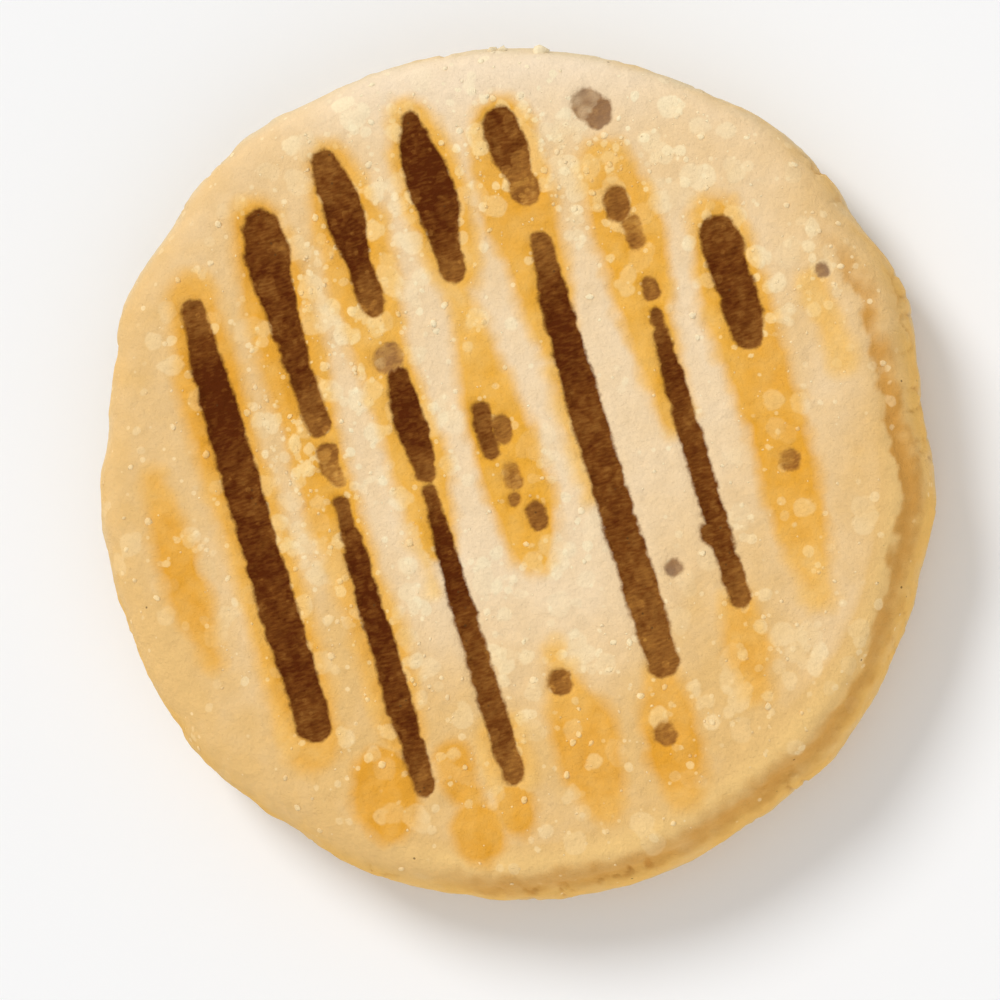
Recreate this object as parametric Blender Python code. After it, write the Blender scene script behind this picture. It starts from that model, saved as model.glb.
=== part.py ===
"""Arepa corn cake: one hand-patted round of maize dough, pressed and marked by a grill.

The cake is a single solid.  Its rim is a half section spun about the upright axis, its
top is a face sliced into strips that run with the grill rods, and both are then moved
into their hand-made shape: a wavy outline, a mild crown, a creased shoulder on one side
and a shallow groove wherever a rod pressed.  Units are metres, +Z is up.
"""

import math

import bmesh
import bpy
from mathutils import Matrix, Vector, noise

MM = 0.001

# Overall size
RADIUS = 57.5 * MM           # mean radius of the outline at its widest height
EDGE_HEIGHT = 17.2 * MM      # height of the top face at its edge
CROWN = 0.7 * MM             # rise of the top face from its edge to the middle
BELLY_HEIGHT = 7.6 * MM      # height at which the rim is widest

# Half section of the rim
FOOT_INSET = 8.0 * MM        # from the outline in to the flat underside
SHOULDER_INSET = 6.4 * MM    # from the outline in to the top face
FOOT_ROUNDNESS = 2.2         # exponents of the two rounded corners: 2 is an ellipse,
SHOULDER_ROUNDNESS = 2.6     # more is squarer
FOOT_STEPS = 6
SHOULDER_STEPS = 15
SEGMENTS = 144

# Crease in the shoulder, all on one side, where the dough folded as it was patted.  It
# starts low on the wall and climbs anticlockwise until it runs out on the top face.
CREASE_DIRECTION = -32.0     # of its middle, in degrees
CREASE_SPREAD = 75.0         # degrees from its middle to where it has died out
CREASE_RISE = 52.0           # degrees up the shoulder at its middle
CREASE_CLIMB = 0.30          # degrees of rise for each degree round the cake
CREASE_SWEEP = 0.003         # and what each degree squared adds
CREASE_FIRMNESS = 2.2        # above 1 keeps the full depth over more of its length
CREASE_HALF_WIDTH = 1.25 * MM
CREASE_DEPTH = 1.4 * MM

# Waves of the hand-patted outline: order, height, direction of a crest in degrees
OUTLINE_WAVES = (
    (2, 0.56 * MM, 112.0),
    (3, 0.31 * MM, 32.0),
    (4, 0.38 * MM, 44.0),
    (5, 0.17 * MM, -18.0),
    (6, 0.22 * MM, -28.0),
    (11, 0.33 * MM, -7.5),
    (13, 0.26 * MM, -6.0),
    (14, 0.15 * MM, -1.5),
    (16, 0.15 * MM, 0.0),
)

# Knuckles (out) and nicks (in) on the outline: direction and spread in degrees, height
OUTLINE_DABS = (
    (11.0, 3.0, 0.5 * MM),
    (40.0, 2.6, 0.5 * MM),
    (117.0, 2.4, -0.2 * MM),
    (132.0, 2.4, -0.3 * MM),
    (140.0, 3.8, 0.4 * MM),
    (163.0, 2.4, -0.5 * MM),
    (175.5, 3.0, -0.4 * MM),
    (217.5, 2.4, -0.35 * MM),
    (234.0, 2.4, 0.45 * MM),
    (307.0, 2.6, 0.5 * MM),
    (316.0, 4.0, 0.6 * MM),
    (340.0, 4.2, 0.5 * MM),
    (351.0, 4.6, 0.35 * MM),
)

# Soft dents left in the top by the palm
DENT_PITCH = 26.0 * MM
DENT_HEIGHT = 0.35 * MM
DENT_LAYER = 10.4 * MM       # slice of the noise that the dents are read from

# Grill: straight rods, side by side at one pitch, turned on the cake
ROD_PITCH = 12.0 * MM
ROD_TURN = math.radians(16.4)
ROD_OFFSET = 1.1 * MM        # of the middle rod from the cake's centre
GROOVE_DEPTH = 0.5 * MM
GROOVE_WIDTH = 5.2 * MM
GROOVE_FADE = 7.0 * MM       # length of each run-out at a groove's end,
GROOVE_OVERRUN = 2.4 * MM    # of which this much lies past the end
CROSS_CUT_PITCH = 5.2 * MM   # slices across the rods, so that a groove can rise and fall

# Each groove: rod number from the middle one, where it starts and ends along the rod
# (counted from the cake's middle, top of the cake first), and its width over the usual
GROOVES = (
    (-3, -33.8 * MM, 27.4 * MM, 1.0),
    (-2, -42.4 * MM, -11.9 * MM, 1.0),
    (-2, -2.3 * MM, 38.1 * MM, 0.7),
    (-1, -47.7 * MM, -25.1 * MM, 1.0),
    (-1, -16.1 * MM, -1.8 * MM, 0.8),
    (-1, 0.1 * MM, 40.8 * MM, 0.7),
    (0, -48.9 * MM, -26.1 * MM, 1.1),
    (1, -45.9 * MM, -32.5 * MM, 1.0),
    (1, -27.7 * MM, 33.1 * MM, 1.0),
    (2, -13.4 * MM, 27.4 * MM, 0.7),
    (3, -22.6 * MM, -5.7 * MM, 1.1),
)

SNAP = 0.25 * MM             # a slice this near to a corner passes through it
TOP_LEVEL = EDGE_HEIGHT - 0.01 * MM     # what starts above this belongs to the top face
CRUST_COLOUR = (0.76, 0.55, 0.28, 1.0)
CRUST_ROUGHNESS = 0.72


def clear_scene():
    """Remove every object, so that the script can be run again."""
    for obj in list(bpy.data.objects):
        bpy.data.objects.remove(obj, do_unlink=True)


def rounded_corner(width, height, roundness, steps):
    """Quarter superellipse from its widest point (width, 0) to its top (0, height)."""
    points = []
    for step in range(steps + 1):
        turn = math.radians(90) * step / steps
        across = width * max(math.cos(turn), 0.0) ** (2 / roundness)
        up = height * math.sin(turn) ** (2 / roundness)
        points.append((across, up))
    return points


def rim_section():
    """Half section of the rim as (radius, height), from the underside up to the top."""
    foot = rounded_corner(FOOT_INSET, BELLY_HEIGHT, FOOT_ROUNDNESS, FOOT_STEPS)
    shoulder = rounded_corner(SHOULDER_INSET, EDGE_HEIGHT - BELLY_HEIGHT,
                              SHOULDER_ROUNDNESS, SHOULDER_STEPS)
    lower = [(RADIUS - FOOT_INSET + across, BELLY_HEIGHT - up) for across, up in reversed(foot)]
    upper = [(RADIUS - SHOULDER_INSET + across, BELLY_HEIGHT + up) for across, up in shoulder]
    return lower + upper[1:]


def spin_rim(bm):
    """Spin the half section once round and close it with one face below and one above."""
    corners = [bm.verts.new((radius, 0.0, height)) for radius, height in rim_section()]
    edges = [bm.edges.new(pair) for pair in zip(corners, corners[1:])]
    bmesh.ops.spin(bm, geom=corners + edges, cent=(0, 0, 0), axis=(0, 0, 1),
                   angle=math.tau, steps=SEGMENTS, use_merge=True)
    loops = [edge for edge in bm.edges if edge.is_boundary]
    bmesh.ops.holes_fill(bm, edges=loops, sides=0)
    bmesh.ops.recalc_face_normals(bm, faces=bm.faces)


def rod_axes():
    """Unit vectors across the rods and along them."""
    turn = Matrix.Rotation(ROD_TURN, 3, "Z")
    return turn @ Vector((1, 0, 0)), turn @ Vector((0, -1, 0))


def slice_top(bm):
    """Cut the top face along both flanks and the floor of every groove, then across."""
    across, along = rod_axes()
    reach = RADIUS - SHOULDER_INSET
    cuts = []
    for rod in sorted({groove[0] for groove in GROOVES}):
        for share in (-1.0, -0.5, 0.0, 0.5, 1.0):
            cuts.append((across, ROD_OFFSET + rod * ROD_PITCH + share * GROOVE_WIDTH / 2))
    count = int(reach / CROSS_CUT_PITCH)
    for step in range(-count, count + 1):
        cuts.append((along, step * CROSS_CUT_PITCH))
    for normal, distance in cuts:
        top = [face for face in bm.faces
               if min(vert.co.z for vert in face.verts) > TOP_LEVEL]
        edges = {edge for face in top for edge in face.edges}
        corners = {vert for face in top for vert in face.verts}
        bmesh.ops.bisect_plane(bm, geom=top + list(edges) + list(corners), dist=SNAP,
                               plane_co=normal * distance, plane_no=normal)


def smooth_step(value):
    """Ease from 0 to 1."""
    value = min(max(value, 0.0), 1.0)
    return value * value * (3 - 2 * value)


def turn_between(direction, other):
    """Signed degrees from one direction round to another, the short way."""
    return math.remainder(direction - other, 360.0)


def outline_offset(direction):
    """How far the outline stands out of its mean circle in one direction."""
    offset = 0.0
    for order, height, crest in OUTLINE_WAVES:
        offset += height * math.cos(math.radians(order * (direction - crest)))
    for middle, spread, height in OUTLINE_DABS:
        offset += height * math.exp(-(turn_between(direction, middle) / spread) ** 2)
    return offset


def crease_depth(direction, radius, height):
    """Depth of the crease at one place on the plain turned shoulder."""
    along = turn_between(direction, CREASE_DIRECTION)
    strength = smooth_step(CREASE_FIRMNESS * (1 - abs(along) / CREASE_SPREAD))
    rise = CREASE_RISE + CREASE_CLIMB * along + CREASE_SWEEP * along * along
    out = radius - (RADIUS - SHOULDER_INSET)
    up = height - BELLY_HEIGHT
    away = (math.atan2(up, out) - math.radians(rise)) * math.hypot(out, up)
    return CREASE_DEPTH * strength * math.exp(-(away / CREASE_HALF_WIDTH) ** 2)


def groove_depth(x, y):
    """Depth that the grill pressed into the top at one place."""
    across, along = rod_axes()
    side = Vector((x, y, 0)).dot(across) - ROD_OFFSET
    length = Vector((x, y, 0)).dot(along)
    deepest = 0.0
    for rod, start, end, share in GROOVES:
        offset = (side - rod * ROD_PITCH) / (share * GROOVE_WIDTH / 2)
        if abs(offset) >= 1:
            continue
        run = (min(length - start, end - length) + GROOVE_OVERRUN) / GROOVE_FADE
        deepest = max(deepest, GROOVE_DEPTH * (1 - offset * offset) * smooth_step(run))
    return deepest


def shape_point(point):
    """Move one corner from the plain turned form to the hand-made one."""
    radius = math.hypot(point.x, point.y)
    angle = math.atan2(point.y, point.x)
    direction = math.degrees(angle)
    reach = radius / RADIUS
    level = point.z / EDGE_HEIGHT

    dent = noise.noise(Vector((point.x, point.y, DENT_LAYER)) / DENT_PITCH)
    new_radius = radius + outline_offset(direction) * reach ** 3
    new_height = point.z + (CROWN * (1 - reach * reach) + DENT_HEIGHT * dent) * level ** 3
    if point.z > TOP_LEVEL:
        new_height -= groove_depth(point.x, point.y)

    crease = crease_depth(direction, radius, point.z)
    inward = Vector((RADIUS - SHOULDER_INSET - radius, BELLY_HEIGHT - point.z))
    if crease > 0 and point.z > BELLY_HEIGHT:
        inward.normalize()
        new_radius += crease * inward.x
        new_height += crease * inward.y
    return Vector((new_radius * math.cos(angle), new_radius * math.sin(angle), new_height))


def centre_on_base(bm):
    """Put the middle of the cake's box on the upright axis, resting at zero height."""
    low = [min(vert.co[axis] for vert in bm.verts) for axis in range(3)]
    high = [max(vert.co[axis] for vert in bm.verts) for axis in range(3)]
    shift = Vector((-(low[0] + high[0]) / 2, -(low[1] + high[1]) / 2, -low[2]))
    bmesh.ops.translate(bm, verts=bm.verts, vec=shift)


def crust_material():
    """Pale golden maize crust."""
    material = bpy.data.materials.new("maize_crust")
    material.use_nodes = True
    shader = material.node_tree.nodes["Principled BSDF"]
    shader.inputs["Base Color"].default_value = CRUST_COLOUR
    shader.inputs["Roughness"].default_value = CRUST_ROUGHNESS
    shader.inputs["Metallic"].default_value = 0.0
    material.diffuse_color = CRUST_COLOUR
    return material


def build_cake(collection):
    """The whole cake as one closed mesh."""
    bm = bmesh.new()
    spin_rim(bm)
    slice_top(bm)
    for vert in bm.verts:
        vert.co = shape_point(vert.co)
    bmesh.ops.triangulate(bm, faces=bm.faces)
    centre_on_base(bm)

    mesh = bpy.data.meshes.new("arepa_cake")
    bm.to_mesh(mesh)
    bm.free()
    mesh.shade_smooth()
    mesh.materials.append(crust_material())
    cake = bpy.data.objects.new("arepa_cake", mesh)
    collection.objects.link(cake)
    return cake


def main():
    """Build the arepa in a collection of its own."""
    clear_scene()
    collection = bpy.data.collections.new("arepa_corn_cake")
    bpy.context.scene.collection.children.link(collection)
    build_cake(collection)


main()
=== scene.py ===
"""Looks of an arepa: a hand-patted maize cake, griddled and marked by the rods of a grill.

The plain CAD cake is replaced by one fine crust, modelled from an operator-made disc and
tube.  Grill marks, golden patches, the creased shoulder and the floury rim are measured
into attributes of its vertices, and one finish turns them into colour, gloss and grain.
Loose grains of maize sit half sunk in the crust.
"""

from __future__ import annotations

import logging
import math
from collections.abc import Iterable, Sequence
from dataclasses import dataclass, field
from enum import Enum

import bmesh
import bpy
import numpy as np
from mathutils import Matrix, Vector, kdtree, noise


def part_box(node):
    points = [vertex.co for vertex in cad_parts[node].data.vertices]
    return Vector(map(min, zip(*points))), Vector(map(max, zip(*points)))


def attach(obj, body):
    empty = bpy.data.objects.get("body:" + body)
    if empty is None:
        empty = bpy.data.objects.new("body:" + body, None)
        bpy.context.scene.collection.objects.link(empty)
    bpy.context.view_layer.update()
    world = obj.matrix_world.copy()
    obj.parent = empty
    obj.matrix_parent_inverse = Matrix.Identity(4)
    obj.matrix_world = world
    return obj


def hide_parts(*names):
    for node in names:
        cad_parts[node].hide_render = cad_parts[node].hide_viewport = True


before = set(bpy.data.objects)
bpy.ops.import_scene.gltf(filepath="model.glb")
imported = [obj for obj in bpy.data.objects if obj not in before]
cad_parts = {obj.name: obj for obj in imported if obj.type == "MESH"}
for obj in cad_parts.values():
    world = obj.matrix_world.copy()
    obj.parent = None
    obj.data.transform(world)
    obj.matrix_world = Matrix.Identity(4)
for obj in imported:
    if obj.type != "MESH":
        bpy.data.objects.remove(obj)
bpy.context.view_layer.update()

log = logging.getLogger("arepa")

MM = 0.001
NODE = "arepa_cake"
BODY = "root"

Colour = tuple[float, float, float, float]


def tint(red: int, green: int, blue: int) -> Colour:
    """Turn a colour as seen on screen, 0 to 255 a channel, into the linear one of a shader."""
    shares = [channel / 255 for channel in (red, green, blue)]
    red, green, blue = (
        share / 12.92 if share <= 0.04045 else ((share + 0.055) / 1.055) ** 2.4 for share in shares
    )
    return (red, green, blue, 1.0)


def ease(values: np.ndarray, start: float, end: float) -> np.ndarray:
    """Smooth step from 0 at start to 1 at end, which may lie below start."""
    share = np.clip((values - start) / (end - start), 0.0, 1.0)
    return share * share * (3 - 2 * share)


def grain(points: np.ndarray, pitch: float, layer: float = 0.0, octaves: int = 1) -> np.ndarray:
    """Read smooth noise at many places.

    Args:
        points: Places, one row of x, y and z each.
        pitch: Size of the noise's lumps, in the same unit as the places.
        layer: Shift that picks another, unrelated noise.
        octaves: How many finer layers are added, each half as large and half as strong.

    Returns:
        One value a place, mostly within -1 and 1.
    """
    total = np.zeros(len(points))
    for octave in range(octaves):
        scaled = (points / pitch * 2**octave + layer + 7.3 * octave).tolist()
        total += np.array([noise.noise(place) for place in scaled]) / 2**octave
    return total


class Channel(Enum):
    """What the crust's vertices carry for its finish."""

    MARK_EDGE = "mark_edge"      # mm out of the nearest grill mark, negative inside it
    MARK_TONE = "mark_tone"      # how dark that mark is, 0 to 1
    MARK_ASH = "mark_ash"        # how grey that mark is, 0 to 1
    GOLD_EDGE = "gold_edge"      # mm out of the nearest golden patch, negative inside it
    GOLD_TONE = "gold_tone"      # how deep that patch is, 0 to 1
    TAN = "tan"                  # -1 floury, 0 cream, 1 toasted, 2 the rind strip: golden, brightened as painted light on the shaded shoulder
    FOLD_BROWNING_AND_SHADE = "crease"            # 1 in the fold of the shoulder: its browning with painted shade; the side's cracks carry painted shade in it too
    WALL = "wall"                # 0 on a griddled face, 1 on the side
    TOAST = "toast"              # 0 on the pale side, 1 on the side by the fold
    BROAD_EDGE = "broad_edge"    # mm out of the nearest broad fleck, negative inside it
    BROAD_TONE = "broad_tone"    # how pale that fleck is, 0 to 1
    SMALL_EDGE = "small_edge"    # mm out of the nearest small fleck, negative inside it
    SMALL_TONE = "small_tone"    # how pale that fleck is, 0 to 1
    MEAL = "meal"                # how thickly fine pale meal shows


# ---------------------------------------------------------------------------------------
# Shader arithmetic
# ---------------------------------------------------------------------------------------


class Value:
    """A shader socket that Python arithmetic works on; each step adds a Math node."""

    def __init__(self, graph: Graph, socket: bpy.types.NodeSocket) -> None:
        """Keep the socket and the graph that its results are added to."""
        self.graph = graph
        self.socket = socket

    def _math(self, operation: str, *terms: Value | float, clamp: bool = False) -> Value:
        """Add one Math node on the given terms."""
        settings = {"operation": operation, "use_clamp": clamp}
        return self.graph.node("ShaderNodeMath", settings, dict(enumerate(terms)))

    def __add__(self, other: Value | float) -> Value:
        """Add."""
        return self._math("ADD", self, other)

    __radd__ = __add__

    def __sub__(self, other: Value | float) -> Value:
        """Take other away."""
        return self._math("SUBTRACT", self, other)

    def __rsub__(self, other: Value | float) -> Value:
        """Take this away from other."""
        return self._math("SUBTRACT", other, self)

    def __mul__(self, other: Value | float) -> Value:
        """Multiply."""
        return self._math("MULTIPLY", self, other)

    __rmul__ = __mul__

    def below(self, other: Value | float) -> Value:
        """1 where this is less than other, else 0."""
        return self._math("LESS_THAN", self, other)

    def clamped(self) -> Value:
        """Keep within 0 and 1."""
        return self._math("ADD", self, 0.0, clamp=True)

    def eased(self, start: Value | float, end: Value | float) -> Value:
        """Smooth step from 0 at start to 1 at end, which may lie below start."""
        sockets = {"Value": self, "From Min": start, "From Max": end}
        return self.graph.node("ShaderNodeMapRange", {"interpolation_type": "SMOOTHSTEP"}, sockets)


class Graph:
    """The nodes of one material or world, added by type with their settings and sockets."""

    def __init__(self, owner: bpy.types.Material | bpy.types.World) -> None:
        """Start on the owner's own nodes: its shader and its output."""
        owner.use_nodes = True
        self.owner = owner
        self.tree = owner.node_tree

    def shader(self, name: str) -> bpy.types.NodeInputs:
        """The input sockets of the owner's shader of that name."""
        return self.tree.nodes[name].inputs

    def feed(self, socket: bpy.types.NodeSocket, value: object) -> None:
        """Link a Value to a socket, or set a plain number or colour on it."""
        if isinstance(value, Value):
            self.tree.links.new(value.socket, socket)
        else:
            socket.default_value = value

    def node(
        self,
        kind: str,
        settings: dict[str, object] | None = None,
        sockets: dict[str | int, object] | None = None,
        output: str | int = 0,
    ) -> Value:
        """Add any node.

        Args:
            kind: The node's type.
            settings: Its own settings, set before its sockets; "stops" fills a colour ramp.
            sockets: Values or links of its input sockets, by name or number.
            output: Which of its outputs is wanted.

        Returns:
            The chosen output.
        """
        made = self.tree.nodes.new(kind)
        for name, value in (settings or {}).items():
            if name == "stops":
                self._fill_ramp(made.color_ramp, value)
            else:
                setattr(made, name, value)
        for name, value in (sockets or {}).items():
            self.feed(made.inputs[name], value)
        return Value(self, made.outputs[output])

    @staticmethod
    def _fill_ramp(ramp: bpy.types.ColorRamp, stops: Sequence[tuple[float, Colour]]) -> None:
        """Give a colour ramp its stops, lowest first."""
        for place, colour in stops[1:-1]:
            ramp.elements.new(place).color = colour
        for element, (place, colour) in ((ramp.elements[0], stops[0]), (ramp.elements[-1], stops[-1])):
            element.position = place
            element.color = colour

    def mix(self, share: Value | float, low: object, high: object) -> Value:
        """Blend two colours: low at a share of 0, high at 1."""
        return self.node("ShaderNodeMix", {"data_type": "RGBA"}, {0: share, 6: low, 7: high}, output=2)

    def channel(self, channel: Channel) -> Value:
        """Read one of the crust's vertex attributes."""
        return self.node("ShaderNodeAttribute", {"attribute_name": channel.value}, output="Fac")

    def place(self) -> Value:
        """Object coordinates, in metres."""
        return self.node("ShaderNodeTexCoord", output="Object")

    def noise(self, place: Value, pitch: float, detail: float = 2.0, roughness: float = 0.5) -> Value:
        """Noise of a given lump size in metres, from -1 to 1."""
        sockets = {"Vector": place, "Scale": 1 / pitch, "Detail": detail, "Roughness": roughness}
        return self.node("ShaderNodeTexNoise", None, sockets) * 2.0 - 1.0

    def stretched(self, place: Value, scale: tuple[float, float, float], turn: float) -> Value:
        """Object coordinates turned about the upright axis and then scaled."""
        settings = {"vector_type": "POINT"}
        turned = self.node("ShaderNodeMapping", settings, {"Vector": place, "Rotation": (0.0, 0.0, turn)})
        return self.node("ShaderNodeMapping", settings, {"Vector": turned, "Scale": scale})


# ---------------------------------------------------------------------------------------
# The cake's shape
# ---------------------------------------------------------------------------------------


@dataclass(frozen=True)
class Wave:
    """One wave of the outline: how many times it goes round, its height and a crest."""

    order: int
    height: float
    crest: float


@dataclass(frozen=True)
class Dab:
    """One knuckle or nick of the outline: its direction, its spread and how far it stands out."""

    direction: float
    spread: float
    height: float


WAVES = (
    Wave(2, 0.56, 112.0),
    Wave(3, 0.31, 32.0),
    Wave(4, 0.38, 44.0),
    Wave(5, 0.17, -18.0),
    Wave(6, 0.22, -28.0),
    Wave(11, 0.33, -7.5),
    Wave(13, 0.26, -6.0),
    Wave(14, 0.15, -1.5),
    Wave(16, 0.15, 0.0),
)

DABS = (
    Dab(11.0, 3.0, 0.5),
    Dab(40.0, 2.6, 0.5),
    Dab(117.0, 2.4, -0.2),
    Dab(132.0, 2.4, -0.3),
    Dab(140.0, 3.8, 0.4),
    Dab(163.0, 2.4, -0.5),
    Dab(175.5, 3.0, -0.4),
    Dab(217.5, 2.4, -0.35),
    Dab(234.0, 2.4, 0.45),
    Dab(307.0, 2.6, 0.5),
    Dab(316.0, 4.0, 0.6),
    Dab(340.0, 4.2, 0.5),
    Dab(351.0, 4.6, 0.35),
)


@dataclass(frozen=True)
class CakeForm:
    """The hand-made form of the cake: its half section, outline and crease.

    Sizes are in mm and directions in degrees.  The finished form is fitted to the frame's
    box, which runs from low to high in metres.
    """

    low: np.ndarray
    high: np.ndarray
    usual_radius: float = 57.5
    edge_height: float = 17.2
    crown: float = 0.7
    belly_height: float = 7.6
    foot_inset: float = 8.0
    shoulder_inset: float = 6.4
    foot_roundness: float = 2.2
    shoulder_roundness: float = 2.6
    crease_direction: float = -32.0
    crease_spread: float = 75.0
    crease_rise: float = 55.5
    crease_climb: float = 0.32
    crease_sweep: float = 0.003
    crease_highest: float = 79.0
    crease_firmness: float = 2.2
    crease_half_width: float = 1.45
    crease_depth: float = 0.9
    # Browning of the fold with painted shade: its reach above and below the crease, how hard its ends are
    # and how strong it is.
    browning_and_shade_above: float = 1.2
    browning_and_shade_above_foot: float = 3.6
    browning_and_shade_below: float = 3.2
    browning_and_shade_firmness: float = 4.2
    browning_and_shade_share: float = 0.64
    browning_and_shade_deepest: float = 3.0
    dent_pitch: float = 26.0
    dent_height: float = 0.35
    dent_layer: float = 10.4

    def section(self, stations: np.ndarray) -> tuple[np.ndarray, np.ndarray]:
        """Read the half section of the side at even distances along it.

        Args:
            stations: Shares of the way from the edge of the top (0) to the underside (1).

        Returns:
            The radius and the height at each station, in mm.
        """
        turn = np.linspace(0, math.pi / 2, 200)
        upper = 2 / self.shoulder_roundness
        lower = 2 / self.foot_roundness
        rise = self.edge_height - self.belly_height
        shoulder = (
            self.usual_radius - self.shoulder_inset * (1 - np.sin(turn) ** upper),
            self.belly_height + rise * np.cos(turn) ** upper,
        )
        foot = (
            self.usual_radius - self.foot_inset * (1 - np.cos(turn) ** lower),
            self.belly_height * (1 - np.sin(turn) ** lower),
        )
        radius = np.concatenate([shoulder[0], foot[0][1:]])
        height = np.concatenate([shoulder[1], foot[1][1:]])
        length = np.concatenate([[0.0], np.cumsum(np.hypot(np.diff(radius), np.diff(height)))])
        at = stations * length[-1]
        return np.interp(at, length, radius), np.interp(at, length, height)

    def outline(self, direction: np.ndarray) -> np.ndarray:
        """How far the outline stands out of its mean circle, in mm, by direction in degrees."""
        offset = np.zeros_like(direction)
        for wave in WAVES:
            offset += wave.height * np.cos(np.radians(wave.order * (direction - wave.crest)))
        for dab in DABS:
            away = (direction - dab.direction + 180) % 360 - 180
            offset += dab.height * np.exp(-((away / dab.spread) ** 2))
        return offset

    def crease(
        self, direction: np.ndarray, radius: np.ndarray, height: np.ndarray, stray: np.ndarray
    ) -> tuple[np.ndarray, np.ndarray]:
        """Find the crease on the plain turned side.

        Args:
            direction: Of each place, in degrees.
            radius: Of each place, in mm.
            height: Of each place, in mm.
            stray: How far the ragged edge of the browning with painted shade strays at each place, in mm.

        Returns:
            The share of the crease's full depth at each place, and the share of its browning
            with painted shade, which runs further down the side than up.
        """
        along = (direction - self.crease_direction + 180) % 360 - 180
        strength = ease(self.crease_firmness * (1 - np.abs(along) / self.crease_spread), 0.0, 1.0)
        rise = self.crease_rise + self.crease_climb * along + self.crease_sweep * along**2
        rise = np.minimum(rise, self.crease_highest)
        out = radius - (self.usual_radius - self.shoulder_inset)
        up = height - self.belly_height
        away = (np.arctan2(up, out) - np.radians(rise)) * np.hypot(out, up)
        above = self.browning_and_shade_above + (self.browning_and_shade_above_foot - self.browning_and_shade_above) * ease(-along, 2.0, 14.0)
        below = self.browning_and_shade_below * (1 - 0.3 * ease(np.abs(along), 15.0, 45.0))
        browning_and_shade_strength = ease(self.browning_and_shade_firmness * (1 - np.abs(along) / self.crease_spread), 0.0, 1.0)
        deepest = np.exp(-(((direction - self.browning_and_shade_deepest) / 15.0) ** 2))
        browning_and_shade_strength *= self.browning_and_shade_share + (1 - self.browning_and_shade_share) * deepest
        share = strength * np.exp(-((away / self.crease_half_width) ** 2))
        away = away + stray
        # The fold is browned and darkened with painted shade, further down the side than up.
        browning_and_shade = browning_and_shade_strength * np.exp(-np.where(away < 0, (away / below) ** 2, (away / above) ** 4))
        return np.where(up > 0, share, 0.0), np.where(up > -4, browning_and_shade, 0.0)

    def shape(self, plain: np.ndarray) -> tuple[np.ndarray, np.ndarray]:
        """Move places of the plain turned cake to the hand-made one.

        Args:
            plain: Places in mm, one row of x, y and z each.

        Returns:
            The new places in mm, and the share of the crease's browning with painted shade at each.
        """
        radius = np.hypot(plain[:, 0], plain[:, 1])
        angle = np.arctan2(plain[:, 1], plain[:, 0])
        direction = np.degrees(angle)
        reach = radius / self.usual_radius
        level = plain[:, 2] / self.edge_height
        flat = np.column_stack([plain[:, :2], np.full(len(plain), self.dent_layer)])
        dent = grain(flat, self.dent_pitch)
        lift = self.crown * (1 - reach**2) + self.dent_height * dent
        stray = 1.2 * grain(plain, 3.4, 91.3) + 0.8 * grain(plain, 1.3, 95.1)
        fold, browning_and_shade = self.crease(direction, radius, plain[:, 2], stray)
        inward = np.column_stack(
            [self.usual_radius - self.shoulder_inset - radius, self.belly_height - plain[:, 2]]
        )
        inward /= np.maximum(np.linalg.norm(inward, axis=1, keepdims=True), 1e-9)
        depth = self.crease_depth * fold
        new_radius = radius + self.outline(direction) * reach**3 + depth * inward[:, 0]
        new_height = plain[:, 2] + lift * level**3 + depth * inward[:, 1]
        moved = np.column_stack([new_radius * np.cos(angle), new_radius * np.sin(angle), new_height])
        return moved, browning_and_shade

    def fit(self, points: np.ndarray) -> np.ndarray:
        """Shift and scale finished places in mm so that they fill the frame's box, in metres."""
        lowest, highest = points.min(axis=0), points.max(axis=0)
        share = (points - lowest) / (highest - lowest)
        return self.low + share * (self.high - self.low)


# ---------------------------------------------------------------------------------------
# Grill marks and golden patches
# ---------------------------------------------------------------------------------------


@dataclass(frozen=True)
class Streak:
    """A mark or patch that lies along a rod: a spine with a width that changes, in mm.

    Attributes:
        rod: Number of the rod, counted from the one nearest the cake's middle.
        start: Where it starts along the rod, from the cake's middle.
        end: Where it ends.
        widths: Its width over even stretches from start to end.
        sides: How far off the rod's line it lies, over even stretches.
        tones: Its depth of colour, 0 to 1, over even stretches.
        ash: How grey it is, 0 to 1.
    """

    rod: int
    start: float
    end: float
    widths: tuple[float, ...]
    sides: tuple[float, ...] = (0.0,)
    tones: tuple[float, ...] = (1.0,)
    ash: float = 0.0

    @staticmethod
    def along(shares: np.ndarray, values: tuple[float, ...]) -> np.ndarray:
        """Read values given over even stretches at shares of the length."""
        middles = (np.arange(len(values)) + 0.5) / len(values)
        return np.interp(shares, middles, values)

    def spine(self, spacing: float) -> np.ndarray:
        """Discs that fill the streak: rows of side, length, radius and tone."""
        half_start = min(self.widths[0] / 2, (self.end - self.start) / 2)
        half_end = min(self.widths[-1] / 2, (self.end - self.start) / 2)
        count = max(2, math.ceil((self.end - self.start - half_start - half_end) / spacing) + 1)
        length = np.linspace(self.start + half_start, self.end - half_end, count)
        shares = (length - self.start) / (self.end - self.start)
        radius = self.along(shares, self.widths) / 2
        radius = np.minimum(radius, np.minimum(length - self.start, self.end - length) + 0.02)
        sides, tones = self.along(shares, self.sides), self.along(shares, self.tones)
        return np.column_stack([sides, length, radius, tones])


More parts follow.
